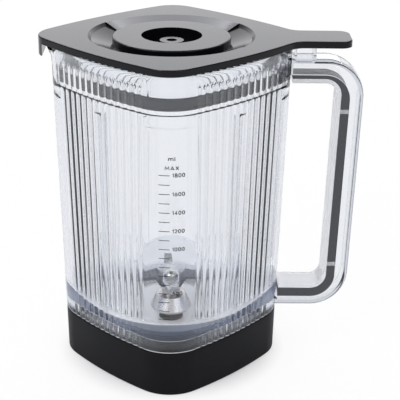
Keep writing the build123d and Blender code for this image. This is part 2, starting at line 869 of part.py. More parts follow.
def scoop_sectors(margin):
    """Pair of finger scoops beside the cap: a steep lip at the rim, then a ramp down to the cap's wall."""
    foot = hole_radius + hole_wall + lid_wall
    bottom = dish_floor_height - scoop_depth - margin
    half_lip = scoop_lip / 2
    rim = dish_rim_radius + half_lip + margin
    profile = upright_face(
        [
            (foot, bottom),
            (dish_rim_radius - half_lip + margin, lid_top - scoop_lip - margin),
            (rim, lid_top - margin),
            (rim, lid_top + CUT_SPARE),
            (foot, lid_top + CUT_SPARE),
        ]
    )
    sweep = scoop_half_angle + degrees(margin / dish_rim_radius)
    sector = revolve(Rot(0, 0, -sweep) * profile, Axis.Z, 2 * sweep)
    return [sector, Rot(0, 0, HALF_TURN) * sector]


def make_lid_skirt():
    """Clear ring under the lid that enters the jar's mouth and carries the gasket."""
    outer_inset = mouth_wall + skirt_gap
    low = skirt_bottom - CUT_SPARE
    solid = jar_column(skirt_bottom, lid_bottom, outer_inset)
    inner = jar_column(low, lid_bottom - skirt_flange_thickness, outer_inset + skirt_wall)
    opening = jar_column(low, lid_bottom + CUT_SPARE, outer_inset + skirt_flange)
    groove = jar_column(gasket_bottom, gasket_top, outer_inset - gasket_groove)
    core = jar_column(gasket_bottom - CUT_SPARE, gasket_top + CUT_SPARE, outer_inset + gasket_groove)
    return solid - inner - opening - (groove - core)


def make_lid_gasket():
    """Grey seal in the skirt's groove, with two fins towards the jar's wall."""
    seat_inset = mouth_wall + skirt_gap + gasket_groove - seat_gap
    fin_inset = mouth_wall + body_gap
    low = gasket_bottom + seat_gap
    high = gasket_top - seat_gap
    solid = jar_column(low, high, fin_inset + gasket_fin / 2)
    for fin_low in (low, high - gasket_fin):
        solid = solid + jar_column(fin_low, fin_low + gasket_fin, fin_inset)
    return solid - jar_column(low - CUT_SPARE, high + CUT_SPARE, seat_inset)


def make_filler_cap():
    """Black centre cap: round top with a well and a dimpled boss, and a plug into the lid's hole."""
    low = dish_floor_height + body_gap
    solid = disc(cap_radius, low, cap_top)
    rim = solid.edges().group_by(Axis.Z)[-1]
    solid = fillet(rim, cap_edge_radius)
    solid = solid + disc(cap_plug_radius, cap_plug_bottom, low)
    well_floor = cap_top - cap_well_depth
    boss_top = well_floor + cap_boss_height
    solid = solid - ring(cap_well_radius, cap_boss_radius, well_floor, cap_top)
    solid = solid - disc(cap_boss_radius, boss_top, cap_top)
    solid = solid - disc(cap_dimple_radius, boss_top - cap_dimple_depth, boss_top)
    plug_inner = cap_plug_radius - cap_wall
    solid = solid - disc(plug_inner, cap_plug_bottom, well_floor - cap_wall)
    solid = solid - ring(plug_inner, cap_well_radius + cap_wall, cap_plug_bottom, cap_top - cap_wall)
    groove_floor = cap_plug_radius - cap_gasket_bite
    return solid - ring(cap_plug_radius + CUT_SPARE, groove_floor, cap_gasket_bottom, cap_gasket_top)


def make_cap_gasket():
    """Square ring seal in the plug's groove."""
    inner = cap_plug_radius - cap_gasket_bite + seat_gap
    return ring(hole_radius - body_gap, inner, cap_gasket_bottom + seat_gap, cap_gasket_top - seat_gap)


pieces = {
    "jar_body": make_jar_body(),
    "handle_frame": make_handle_frame(),
    "handle_core": make_handle_core(),
    "handle_cover": make_handle_cover(),
    "base_collar": make_base_collar(),
    "collar_screws": make_collar_screws(),
    "floor_gasket": ring(housing_flange_radius, tail_hole_radius, floor_height, flange_bottom),
    "bearing_housing": make_bearing_housing(),
    "lock_washer": ring(
        housing_tail_radius + lock_washer_width, tail_hole_radius, lock_washer_bottom, under_floor
    ),
    "retaining_nut": make_retaining_nut(),
    "lower_bush": ring(bush_radius, running_radius, nut_bottom, nut_bottom + bush_length),
    "upper_bush": ring(bush_radius, running_radius, upper_bush_bottom, upper_bush_top),
    "shaft_seal": ring(bush_radius, running_radius, upper_bush_top, housing_top),
    "shaft": make_shaft(),
    "circlip": make_circlip(),
    "thrust_washer": ring(
        shaft_radius + thrust_washer_width, running_radius, thrust_washer_bottom, thrust_washer_top
    ),
    "blade_spacer": ring(shaft_radius + spacer_width, running_radius, spacer_bottom, lower_blade_bottom),
    "lower_blade": make_blade(lower_blade_bends, lower_blade_width, lower_blade_tip, lower_blade_bottom),
    "blade_washer": ring(
        shaft_radius + blade_washer_width, running_radius, lower_blade_top, upper_blade_bottom
    ),
    "upper_blade": Rot(0, 0, CORNER_TURN)
    * make_blade(upper_blade_bends, upper_blade_width, upper_blade_tip, upper_blade_bottom),
    "blade_nut": make_blade_nut(),
    "drive_coupling": make_drive_coupling(),
    "lid_cover": make_lid_cover(),
    "lid_skirt": make_lid_skirt(),
    "lid_gasket": make_lid_gasket(),
    "filler_cap": make_filler_cap(),
    "cap_gasket": make_cap_gasket(),
}

os.makedirs("parts", exist_ok=True)
for name, shape in pieces.items():
    export_step(shape, "parts/" + name + ".step")
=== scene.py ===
"""Look of the blender jar: clear reeded jar, satin black lid and collar, steel blade unit, printed scale."""
import json
from math import atan2, cos, pi, radians, sin, sqrt

import bmesh
import bpy
import numpy as np
from mathutils import Matrix, Vector

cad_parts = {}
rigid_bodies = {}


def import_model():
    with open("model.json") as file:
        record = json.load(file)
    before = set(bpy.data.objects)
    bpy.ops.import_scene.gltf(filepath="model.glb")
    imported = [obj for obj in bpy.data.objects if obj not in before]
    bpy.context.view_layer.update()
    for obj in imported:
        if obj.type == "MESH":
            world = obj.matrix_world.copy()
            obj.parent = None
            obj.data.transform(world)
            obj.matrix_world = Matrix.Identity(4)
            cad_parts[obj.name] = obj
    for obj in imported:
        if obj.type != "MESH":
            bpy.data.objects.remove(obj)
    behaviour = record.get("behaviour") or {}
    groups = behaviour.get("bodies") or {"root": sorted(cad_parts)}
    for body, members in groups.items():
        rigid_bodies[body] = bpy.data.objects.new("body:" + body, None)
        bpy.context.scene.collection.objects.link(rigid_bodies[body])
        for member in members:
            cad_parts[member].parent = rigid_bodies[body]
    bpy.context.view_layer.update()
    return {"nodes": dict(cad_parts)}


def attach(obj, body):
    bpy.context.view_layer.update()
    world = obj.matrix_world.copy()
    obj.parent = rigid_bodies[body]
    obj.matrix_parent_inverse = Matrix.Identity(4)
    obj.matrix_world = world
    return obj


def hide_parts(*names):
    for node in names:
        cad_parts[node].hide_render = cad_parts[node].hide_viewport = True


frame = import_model()

MM = 0.001

# Jar in plan and in height, in millimetres
CORNER_RADIUS = 30.0
SIDE_LOW, SIDE_HIGH = 65.6, 70.2
PULL_LOW, PULL_HIGH = 3.15, 4.15
COLLAR_TOP = 33.4
FOOT = 33.5
RIM = 232.6
LEDGE = 206.0
BOWL_EDGE = 55.0
FLOOR = 24.0
UNDER_FLOOR = 20.0
UNDER_EDGE = 41.0
NECK_BOTTOM = 27.1
NECK_INSET = 3.95
UNDER_INSET = 6.95
FLOOR_RADIUS = 17.0
HOLE_RADIUS = 7.4
WALL = 3.5
MOUTH_WALL = 2.3
CORNER_STEPS = 24
# Corner that carries the print, counted from 0 at the handle towards the back
PRINTED_CORNER = 3

# Reeds and ribs. REED_TURN is the share of a reed's half width at which its crest turns into the valley,
# REED_PLACES lie across one reed, and PANEL_EDGE across the plain strip beside a corner panel
REEDS = 13
REED_DEPTH = 1.2
REED_TURN = 0.72
REED_PLACES = (0.0, 0.03, 0.07, 0.14, 0.25, 0.37, 0.5, 0.63, 0.75, 0.86, 0.93, 0.97)
REED_MARGIN, REED_MARGIN_FRONT = 2.6, 0.4
PANEL_EDGE = (0.0, 0.12, 0.25, 0.4, 0.6, 0.75, 0.88)
REED_TOP = 224.0
REED_FADE = 0.6
REED_EASE, REED_EASE_SHARE = 0.16, 0.25
REED_EASE_FRONT, REED_EASE_SHARE_FRONT = 0.05, 0.7
RIB_TOP = 197.0
RIB_DEPTH = 2.4
RIB_HALF_FOOT, RIB_HALF_CREST = 4.4, 0.6

# Bead across each corner panel inside, level with the tops of the ribs
BEAD_DEPTH = 0.2
BEAD_STEPS = 4

# Satin haze as (distance from the axis, share): on the bowl's floor, under it, and on the wall below its
# edge. On the bowl's floor its white is also painted light, standing in for light coming up through the floor
BOWL_HAZE_AND_PAINTED_LIGHT = ((0.0, 0.85), (34.0, 0.85), (36.0, 0.12), (50.0, 0.12), (52.5, 0.8), (70.0, 0.78), (76.0, 0.7))
UNDER_HAZE = ((18.0, 0.0), (20.0, 0.85), (33.0, 0.85), (36.0, 0.1), (50.0, 0.1), (53.0, 0.85), (80.0, 0.85))
FOOT_HAZE = ((58.0, 0.12), (62.0, 0.1), (66.0, 0.0))
EDGE_HAZE = 0.9

# Extra haze on the bowl's floor away from the printed panel, painted light that makes that side lighter, and
# the distances over which it grows
FAR_PAINTED_LIGHT_HAZE = 0.2
FAR_DISTANCE = 30.0
BOWL_REACH = 75.0

# Pouring lip
SPOUT_START = 219.0
SPOUT_REACH = 3.6
SPOUT_RADIUS = 22.0
SPOUT_START_DEPTH = 1.0
SPOUT_SIDE = 0.35

# Rings of the jar's skin in their order: as heights, as (height, inset), or as (height, radius) at the hole
FOOT_ROUND = ((FOOT, 0.7), (FOOT + 0.12, 0.35), (FOOT + 0.5, 0.1))
OUTSIDE_HEIGHTS = (FOOT + 0.9, *np.linspace(FOOT + 4, SPOUT_START, 7), REED_TOP - REED_FADE)
REED_END_SHARES = (0.3, 0.7, 1.0)
RIM_PROFILE = (
    (226, 0.0), (229, 0.0), (231.6, 0.0), (232.1, 0.15), (232.45, 0.5), (RIM, 0.95),
    (RIM, 1.35), (232.45, 1.8), (232.1, 2.15), (231.6, MOUTH_WALL), (226, MOUTH_WALL),
)
MOUTH_HEIGHTS = np.linspace(223, LEDGE + 0.9, 5)
LEDGE_ROUND = ((LEDGE + 0.3, 2.4), (LEDGE + 0.05, 2.65), (LEDGE, 3.0), (LEDGE - 0.3, 3.35))
PLAIN_HEIGHTS = (LEDGE - 0.9, 203, 200, RIB_TOP + 0.3)
WALL_HEIGHTS = np.linspace(184, BOWL_EDGE + 1.2, 6)
FLOOR_RADII = (14.0, 10.5, HOLE_RADIUS + 0.3)
HOLE_PROFILE = (
    (FLOOR - 0.3, HOLE_RADIUS), (UNDER_FLOOR + 0.3, HOLE_RADIUS), (UNDER_FLOOR, HOLE_RADIUS + 0.3),
    (UNDER_FLOOR, 11.0), (UNDER_FLOOR, 14.0),
)
UNDER_HEIGHTS = (UNDER_EDGE - 0.6, 39, 33)
NECK_PROFILE = (
    (NECK_BOTTOM + 0.4, UNDER_INSET), (NECK_BOTTOM, UNDER_INSET - 0.4),
    (NECK_BOTTOM, NECK_INSET + 0.4), (NECK_BOTTOM + 0.4, NECK_INSET), (30, NECK_INSET),
    (FOOT - 0.3, NECK_INSET), (FOOT, NECK_INSET - 0.3),
)

# Tops of the ribs as (height, share of the ribs, share of the bead)
RIB_ENDS = (
    (RIB_TOP, 0.5, 1.0), (RIB_TOP - 0.6, 0.75, 1.0), (RIB_TOP - 1.2, 0.9, 0.0),
    (RIB_TOP - 1.8, 0.97, 0.0), (RIB_TOP - 3, 1.0, 0.0),
)

# Rings of the bowl's wall and its underside, and their shares of the way: close at both ends, even between
BOWL_RINGS, UNDER_RINGS = 34, 24
FUNNEL_START, FUNNEL_SPAN, FUNNEL_END = (0.0, 0.012, 0.03), (0.07, 0.93), (0.97, 0.988, 1.0)

# Printed scale on the front corner panel
SCALE_MARK_ZERO = 46.95
SCALE_STEP = 6.62
SCALE_FIRST, SCALE_LAST = 2, 18
SCALE_NUMBERS = (5, 10, 12, 14, 16, 18)
TICK_LEFT, TICK_RIGHT = -7.1, 0.2
TICK_HEIGHT = 0.5
SCALE_MARK_VOLUME = 100
NUMBER_LEFT = 2.1
NUMBER_RISE = 0.2
NUMBER_HEIGHT = 3.0
WORD_MIDDLE = 1.6
WORD_RISE, WORD_HEIGHT = 5.2, 2.9
UNIT_RISE, UNIT_HEIGHT = 11.6, 3.1
PRINT_STROKE = 0.58
LETTER_GAP = 0.3
PRINT_LIFT = 0.03
MARK_POINTS = 9
ARC_POINTS = 17
SHARPEST_BEND = 0.6

# Fuller bulb of the housing as (height, growth), because the round front panel makes it look slimmer
BULB_GROWTH = ((26.4, 1.0), (33.5, 1.165), (43.0, 1.12), (43.9, 1.0))
BULB_INSIDE = 7.0

# Edges sharper than this many degrees stay crisp: on the jar, on most pieces, and on the pieces named
JAR_CREASE, PIECE_CREASE = 38, 32
CREASE = {"lid_cover": 12, "filler_cap": 20, "lower_blade": 8, "upper_blade": 8}
FLAT_FACE_WEIGHT = 90
JOIN_DISTANCE = 1e-6

# Materials: the bend of light in clear plastic, the fine grain, and the painted dark reflection on the neck
# of the housing
PLASTIC_IOR = 1.53
CLEARNESS = "clearness"
CLEAR_GRAIN = 60.0
GLOSS_GRAIN_SHARE = 0.7
GRAIN_DETAIL, GRAIN_RANGE = 3.0, (0.3, 0.7)
NECK_HEIGHT, NECK_BLEND = 30.0, 1.0
NECK_PAINTED_REFLECTION = (0.05, 0.047, 0.045)

# Floor, in metres from the jar's axis: where it turns white to the camera, and where its painted shadow under
# the jar ends
FLOOR_REACH, FLOOR_DROP = 3.0, 0.0002
WHITE_RANGE, WHITE_SHARE = (0.055, 0.085), 0.88
PAINTED_SHADOW_RANGE, PAINTED_SHADOW_LEVELS = (0.045, 0.065), (0.1, 0.9)

# Surround: how far sideways it turns grey, and how its level falls behind the camera
SIDE_RANGE, SIDE_GREY = (0.5, 0.8), (0.38, 0.44, 0.56)
FRONT_RANGE, FRONT_LEVEL = (-0.85, -0.3), 0.75

# Lamps as (place, point that the lamp faces, width and height, power), in metres and watts
LAMPS = {
    "key_lamp": ((-0.9, -0.7, 1.1), (0, 0, 0.12), (0.9, 0.9), 5.5),
    "fill_lamp": ((0.9, -0.9, 0.7), (0, 0, 0.12), (0.8, 0.8), 2.2),
    "back_softbox": ((0.0, 1.5, 1.0), (0, 0, 0.2), (2.4, 1.2), 8.5),
    "top_card": ((0.0, 0.75, 1.55), (0, 0, 0.23), (2.0, 1.1), 60.0),
}
COOL_LIGHT = (0.93, 0.94, 1.0)

# Camera: its turns in radians, its place in metres, and its lens and sensor in millimetres
CAMERA_AZIMUTH, CAMERA_PITCH, CAMERA_ROLL = -0.0096, 0.3917, 0.0122
CAMERA_PLACE = (0.0129, -0.8051, 0.4487)
CAMERA_LENS, CAMERA_SENSOR = 108.95, 36.0


def jar_sizes(z, inset=0.0):
    """Half diagonal, half side and corner radius of the jar's outline at a height."""
    share = (z - COLLAR_TOP) / (RIM - COLLAR_TOP)
    half_side = SIDE_LOW + (SIDE_HIGH - SIDE_LOW) * share
    pull = PULL_LOW + (PULL_HIGH - PULL_LOW) * share
    half_diagonal = sqrt(2) * (half_side - CORNER_RADIUS) + CORNER_RADIUS - pull
    return half_diagonal - inset, half_side - inset, CORNER_RADIUS - inset


def reed_stations():
    """Places along one side, as (reed number or -1, place across it), from one corner panel to the next."""
    stations = [(-1, place) for place in PANEL_EDGE]
    for reed in range(REEDS):
        stations += [(reed, place) for place in REED_PLACES]
    return stations + [(REEDS, place) for place in PANEL_EDGE]


def reed_depth(place, half_width):
    """Depth of the outer face below the crest of a reed, with a small round in the valley."""
    round_radius = (half_width**2 + REED_DEPTH**2) / (2 * REED_DEPTH)
    x = abs(2 * place - 1) * half_width
    turn = REED_TURN * half_width
    if x <= turn:
        return round_radius - sqrt(round_radius**2 - x * x)
    start = round_radius - sqrt(round_radius**2 - turn * turn)
    slope = turn / sqrt(round_radius**2 - turn * turn)
    return start + slope * (x - turn) - slope * (x - turn) ** 2 / (2 * (half_width - turn))


def eased(along, ease, share):
    """Share of a reed's full depth, which grows with the distance from a corner panel."""
    return share + (1 - share) * min(1.0, along / ease)


def jar_ring(z, inset, reeds=0.0, ribs=0.0, spout=None, bead=0.0):
    """Points of one ring round the jar: corner arcs, sides with reeds outside or ribs inside, and the lip."""
    half_diagonal, half_side, radius = jar_sizes(z, inset)
    corner = half_diagonal - radius
    side = half_side - radius
    offset = (corner**2 - side**2) / (2 * side - sqrt(2) * corner)
    half_angle = atan2(offset / sqrt(2), corner + offset / sqrt(2))
    side_radius = half_side + offset
    plain_end = (REED_MARGIN / side_radius, REED_EASE, REED_EASE_SHARE)
    front_end = (REED_MARGIN_FRONT / side_radius, REED_EASE_FRONT, REED_EASE_SHARE_FRONT)
    points = []
    for quarter in range(4):
        turn = quarter * pi / 2
        for step in range(CORNER_STEPS):
            angle = turn - half_angle + 2 * half_angle * step / CORNER_STEPS
            reach = radius - bead * min(1.0, step / BEAD_STEPS, (CORNER_STEPS - step) / BEAD_STEPS)
            points.append((corner * cos(turn) + reach * cos(angle), corner * sin(turn) + reach * sin(angle)))
        first = turn + half_angle
        last = turn + pi / 2 - half_angle
        margin, ease, share = front_end if quarter == PRINTED_CORNER else plain_end
        ends_at_print = (quarter + 1) % 4 == PRINTED_CORNER
        far_margin, far_ease, far_share = front_end if ends_at_print else plain_end
        pitch = (last - first - margin - far_margin) / REEDS
        middle = (first + last) / 2
        half_width = pitch * side_radius / 2
        valley = reed_depth(0.0, half_width)
        for reed, place in reed_stations():
            if reed < 0:
                angle = first + margin * place
                depth = share * valley * (1 - cos(pi * place)) / 2
            elif reed == REEDS:
                angle = last - far_margin * (1 - place)
                depth = far_share * valley * (1 + cos(pi * place)) / 2
            else:
                angle = first + margin + pitch * (reed + place)
                along = (reed + place) / REEDS
                grown = min(eased(along, ease, share), eased(1 - along, far_ease, far_share))
                depth = grown * reed_depth(place, half_width)
            reach = side_radius - reeds * depth
            if ribs:
                away = abs(angle - middle) * side_radius
                rise = min(max((RIB_HALF_FOOT - away) / (RIB_HALF_FOOT - RIB_HALF_CREST), 0.0), 1.0)
                reach -= ribs * RIB_DEPTH * rise * rise * (3 - 2 * rise)
            x = reach * cos(angle) - offset * cos(turn + pi / 4)
            y = reach * sin(angle) - offset * sin(turn + pi / 4)
            points.append((x, y))
    points = np.array(points)
    if spout is not None and z > SPOUT_START:
        push_out_lip(points, z, spout)
    return np.column_stack((points, np.full(len(points), z)))


def push_out_lip(points, z, inset):
    """Pushes the points of a ring that lie near the pouring lip out to the lip's round."""
    centre = jar_sizes(RIM)[0] + SPOUT_REACH - SPOUT_RADIUS
    low = jar_sizes(SPOUT_START)[0] - centre - SPOUT_START_DEPTH
    reach = low + (SPOUT_RADIUS - low) * (z - SPOUT_START) / (RIM - SPOUT_START) - inset
    arm = points - np.array((-centre, 0.0))
    length = distance_from_axis(arm)
    pushed = np.maximum(length, reach)
    near = points[:, 0] < -centre + reach * SPOUT_SIDE
    points[near] = np.array((-centre, 0.0)) + (arm * (pushed / length)[:, None])[near]


def distance_from_axis(points):
    """Distance of each point from the upright axis."""
    return np.hypot(points[:, 0], points[:, 1])


def neck_ring(z, inset):
    """Ring of the upright neck, which has the outline at the collar's top at every height."""
    ring = jar_ring(COLLAR_TOP, inset)
    ring[:, 2] = z
    return ring


def round_ring(z, radius):
    """Ring on the jar's axis whose points lie at the same angles as those of the jar's outline."""
    guide = jar_ring(BOWL_EDGE, WALL)
    angle = np.arctan2(guide[:, 1], guide[:, 0])
    return np.column_stack((radius * np.cos(angle), radius * np.sin(angle), np.full(len(angle), z)))


def bowl_edge_ring():
    """Ring where the bowl's conical floor meets the walls, higher at the corners than at the sides."""
    ring = jar_ring(BOWL_EDGE, WALL, ribs=1.0)
    slope = (BOWL_EDGE - FLOOR) / (jar_sizes(BOWL_EDGE, WALL)[0] - FLOOR_RADIUS)
    ring[:, 2] = FLOOR + slope * (distance_from_axis(ring) - FLOOR_RADIUS)
    return ring


def between(ring_a, ring_b, share):
    """Ring that lies part of the way from one ring to another."""
    return ring_a + (ring_b - ring_a) * share


def haze_by_radius(ring, stops):
    """Share of haze at each point of a ring, from its distance to the jar's axis."""
    distances, shares = zip(*stops)
    return np.interp(distance_from_axis(ring), distances, shares)


def far_side(ring):
    """How far the points of a ring lie on the side away from the printed panel, from 0 to 1."""
    return np.clip(ring[:, 1] / FAR_DISTANCE, 0.0, 1.0)


def bowl_haze_and_painted_light(ring):
    """Haze on the bowl's floor, whose white is partly painted light for light through the floor, with more
    painted light towards its edge on the side away from the print.
    """
    outwards = np.minimum(distance_from_axis(ring) / BOWL_REACH, 1.0) ** 2
    return np.minimum(haze_by_radius(ring, BOWL_HAZE_AND_PAINTED_LIGHT) + FAR_PAINTED_LIGHT_HAZE * far_side(ring) * outwards, 1.0)


def jar_rings():
    """Rings of the jar's closed skin: up the outside, over the rim, down the inside, back under the floor."""
    rings = []
    haze = []

    def add(ring, share=0.0):
        rings.append(ring)
        haze.append(np.full(len(ring), 1.0) * share)

    for z, inset in FOOT_ROUND:
        add(jar_ring(z, inset, reeds=1.0), EDGE_HAZE)
    for z in OUTSIDE_HEIGHTS:
        add(jar_ring(z, 0.0, reeds=1.0, spout=0.0))
    for share in REED_END_SHARES:
        add(jar_ring(REED_TOP - REED_FADE * (1 - share), 0.0, reeds=1 - share, spout=0.0))
    for z, inset in RIM_PROFILE:
        add(jar_ring(z, inset, spout=inset))
    for z in MOUTH_HEIGHTS:
        add(jar_ring(z, MOUTH_WALL, spout=MOUTH_WALL))
    for z, inset in LEDGE_ROUND:
        add(jar_ring(z, inset))
    for z in PLAIN_HEIGHTS:
        add(jar_ring(z, WALL))
    for z, ribs, bead in RIB_ENDS:
        add(jar_ring(z, WALL, ribs=ribs, bead=bead * BEAD_DEPTH))
    for z in WALL_HEIGHTS:
        add(jar_ring(z, WALL, ribs=1.0))
    for ring in funnel_rings(bowl_edge_ring(), round_ring(FLOOR, FLOOR_RADIUS), BOWL_RINGS):
        # The bowl's floor haze is satin and partly white painted light standing in for light through the
        # floor
        add(ring, bowl_haze_and_painted_light(ring))
    for radius in FLOOR_RADII:
        add(round_ring(FLOOR, radius), BOWL_HAZE_AND_PAINTED_LIGHT[0][1])
    for z, radius in HOLE_PROFILE:
        add(round_ring(z, radius))
    under = neck_ring(UNDER_EDGE, UNDER_INSET)
    for ring in funnel_rings(round_ring(UNDER_FLOOR, FLOOR_RADIUS), under, UNDER_RINGS)[:-1]:
        add(ring, haze_by_radius(ring, UNDER_HAZE))
    add(under, EDGE_HAZE)
    for z in UNDER_HEIGHTS:
        ring = neck_ring(z, UNDER_INSET)
        add(ring, haze_by_radius(ring, FOOT_HAZE))
    for z, inset in NECK_PROFILE:
        add(neck_ring(z, inset))
    return rings, haze


def funnel_rings(start, end, count):
    """Rings of a bowl's wall between a square edge and a round floor, eased at both ends."""
    even = np.linspace(*FUNNEL_SPAN, count - len(FUNNEL_START) - len(FUNNEL_END))
    shares = (*FUNNEL_START, *even, *FUNNEL_END)
    return [between(start, end, share) for share in shares]


def piece_from(name, vertices, faces, body, slot, materials, replaces=()):
    """Object made of points in millimetres, riding on a body and standing for CAD nodes."""
    mesh = bpy.data.meshes.new(name)
    mesh.from_pydata([tuple(v) for v in np.asarray(vertices) * MM], [], [tuple(f) for f in faces])
    mesh.update()
    piece = bpy.data.objects.new(name, mesh)
    bpy.context.scene.collection.objects.link(piece)
    return settle(piece, body, slot, materials, replaces)


def settle(piece, body, slot, materials, replaces=()):
    """Gives a finished piece its materials and its body, and hides the nodes that it stands for. Its slot is
    not used.
    """
    piece.data.materials.clear()
    for material in materials:
        piece.data.materials.append(material)
    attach(piece, body)
    if replaces:
        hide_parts(*replaces)
    return piece


def smooth_by_angle(mesh, limit):
    """Smooth shading, with edges sharper than the limit kept crisp."""
    work = bmesh.new()
    work.from_mesh(mesh)
    for face in work.faces:
        face.smooth = True
    for edge in work.edges:
        edge.smooth = len(edge.link_faces) == 2 and edge.calc_face_angle(pi) < limit
    work.to_mesh(mesh)
    work.free()


def face_outwards(mesh):
    """Turns the faces of a closed mesh outwards."""
    work = bmesh.new()
    work.from_mesh(mesh)
    bmesh.ops.recalc_face_normals(work, faces=work.faces)
    work.to_mesh(mesh)
    work.free()


def make_jar_shell():
    """Clear jar as one closed skin, whose points carry how clear it is there."""
    rings, haze = jar_rings()
    count = len(rings[0])
    faces = []
    for index in range(len(rings)):
        following = (index + 1) % len(rings)
        for place in range(count):
            beside = (place + 1) % count
            faces.append((index * count + place, index * count + beside,
                          following * count + beside, following * count + place))
    piece = piece_from("jar_shell", np.concatenate(rings), faces, "jar", "clear_plastic",
                       [jar_plastic], ["jar_body"])
    clearness = piece.data.attributes.new(CLEARNESS, "FLOAT", "POINT")
    clearness.data.foreach_set("value", (1.0 - np.concatenate(haze)).astype(np.float32))
    face_outwards(piece.data)
    smooth_by_angle(piece.data, radians(JAR_CREASE))
    piece.visible_shadow = False
    return piece


def even_out(piece):
    """Keeps large flat faces free of streaks by weighing the shading by face area."""
    weigh = piece.modifiers.new("weigh", "WEIGHTED_NORMAL")
    weigh.keep_sharp = True
    weigh.weight = FLAT_FACE_WEIGHT
    bpy.context.view_layer.update()
    mesh = bpy.data.meshes.new_from_object(piece.evaluated_get(bpy.context.evaluated_depsgraph_get()))
    piece.modifiers.clear()
    piece.data = mesh


def grow_bulb(work):
    """Widens the bulb of the housing and leaves its bore, tail and hub as they are."""
    heights, growths = zip(*BULB_GROWTH)
    for vertex in work.verts:
        if vertex.co.xy.length > BULB_INSIDE * MM:
            growth = np.interp(vertex.co.z / MM, heights, growths)
            vertex.co.x *= growth
            vertex.co.y *= growth


def finished_copy(node, body, slot, material):
    """Copy of a CAD node with its loose triangles joined and its curved faces shaded smooth."""
    name = node + "_finish"
    mesh = frame["nodes"][node].data.copy()
    mesh.name = name
    work = bmesh.new()
    work.from_mesh(mesh)
    bmesh.ops.remove_doubles(work, verts=work.verts, dist=JOIN_DISTANCE)
    if node == "bearing_housing":
        grow_bulb(work)
    work.to_mesh(mesh)
    work.free()
    piece = bpy.data.objects.new(name, mesh)
    bpy.context.scene.collection.objects.link(piece)
    smooth_by_angle(mesh, radians(CREASE.get(node, PIECE_CREASE)))
    even_out(piece)
    piece.visible_shadow = slot != "clear_plastic"
    return settle(piece, body, slot, [material], [node])


class TreeBuilder:
    """Short hand for building a node tree."""

    def __init__(self, tree):
        self.tree = tree

    def add(self, kind, **sockets):
        """Node of a kind, with inputs given by name and underscores for spaces."""
        node = self.tree.nodes.new(kind)
        for name, value in sockets.items():
            self.put(node.inputs[name.replace("_", " ")], value)
        return node

    def put(self, place, value):
        """Sets an input, or links a socket to it."""
        if isinstance(value, bpy.types.NodeSocket):
            self.tree.links.new(value, place)
        else:
            place.default_value = value

    def work_out(self, operation, first, second=0.0):
        """Result of one sum on one or two values."""
        node = self.tree.nodes.new("ShaderNodeMath")
        node.operation = operation
        self.put(node.inputs[0], first)
        self.put(node.inputs[1], second)
        return node.outputs[0]


class ShaderTree(TreeBuilder):
    """Short hand for building the node tree of a material or of the surround."""

    def add(self, kind, **sockets):
        """Shader node of a kind, with inputs given by name and underscores for spaces."""
        return super().add("ShaderNode" + kind, **sockets)

    def span(self, value, start, end, low=0.0, high=1.0):
        """Value mapped from one range to another and held at its ends."""
        node = self.add("MapRange", Value=value, From_Min=start, From_Max=end, To_Min=low, To_Max=high)
        return node.outputs["Result"]

    def blend(self, share, first, second):
        """Mix of two colours."""
        node = self.add("Mix")
        node.data_type = "RGBA"
        colours = [place for place in node.inputs if place.type == "RGBA"]
        for place, colour in zip(colours, (first, second)):
            self.put(place, colour)
        self.put(node.inputs["Factor"], share)
        return [place for place in node.outputs if place.type == "RGBA"][0]

    def pick(self, share, first, second):
        """Mix of two shaders."""
        node = self.add("MixShader")
        for place, value in zip(node.inputs, (share, first, second)):
            self.put(place, value)
        return node.outputs["Shader"]


class Finish(ShaderTree):
    """Short hand for building a material."""

    def __init__(self, name):
        self.material = bpy.data.materials.new(name)
        self.material.use_nodes = True
        super().__init__(self.material.node_tree)
        self.tree.nodes.clear()
        self.output = self.add("OutputMaterial")

    def grain(self, scale, low=0.0, high=1.0, stretch=(1.0, 1.0, 1.0)):
        """Noise in the object's own coordinates, mapped to a range."""
        place = self.add("TexCoord").outputs["Object"]
        mapping = self.add("Mapping", Vector=place, Scale=stretch)
        noise = self.add("TexNoise", Vector=mapping.outputs["Vector"], Scale=scale, Detail=GRAIN_DETAIL)
        return self.span(noise.outputs["Fac"], *GRAIN_RANGE, low, high)

    def shade(self, surface, volume=None):
        """Joins a surface, and where there is one a volume, to the output."""
        self.put(self.output.inputs["Surface"], surface)
        if volume is not None:
            self.put(self.output.inputs["Volume"], volume)
        return self.material


def make_clear_plastic(name, low, high, tint, density, clear=1.0, base=(0.975, 0.98, 0.99)):
    """Clear moulded plastic, blue grey in thick places, clear by a share or by a named attribute."""
    build = Finish(name)
    finish = build.add("BsdfPrincipled", IOR=PLASTIC_IOR, Base_Color=(*base, 1.0))
    build.put(finish.inputs["Roughness"], build.grain(CLEAR_GRAIN, low, high))
    if isinstance(clear, str):
        share = build.add("Attribute")
        share.attribute_name = clear
        clear = share.outputs["Fac"]
    build.put(finish.inputs["Transmission Weight"], clear)
    absorb = build.add("VolumeAbsorption", Density=density, Color=(*tint, 1.0))
    return build.shade(finish.outputs["BSDF"], absorb.outputs["Volume"])


def make_solid_finish(name, dark, light, rough_low, rough_high, scale=300.0, metallic=0.0, specular=0.5,
                      stretch=(1.0, 1.0, 1.0), neck=None):
    """Opaque plastic, rubber or metal with fine grain in colour and gloss, with a painted dark reflection
    below a neck height.
    """
    build = Finish(name)
    finish = build.add("BsdfPrincipled", Metallic=metallic, Specular_IOR_Level=specular)
    colour = build.blend(build.grain(scale, stretch=stretch), (*dark, 1.0), (*light, 1.0))
    # Below the neck height the colour turns to a painted dark reflection of the collar
    if neck:
        height = build.add("SeparateXYZ", Vector=build.add("TexCoord").outputs["Object"]).outputs["Z"]
        above = build.span(height, (neck - NECK_BLEND) * MM, neck * MM)
        colour = build.blend(above, (*NECK_PAINTED_REFLECTION, 1.0), colour)
    build.put(finish.inputs["Base Color"], colour)
    gloss = build.grain(scale * GLOSS_GRAIN_SHARE, rough_low, rough_high, stretch)
    build.put(finish.inputs["Roughness"], gloss)
    return build.shade(finish.outputs["BSDF"])


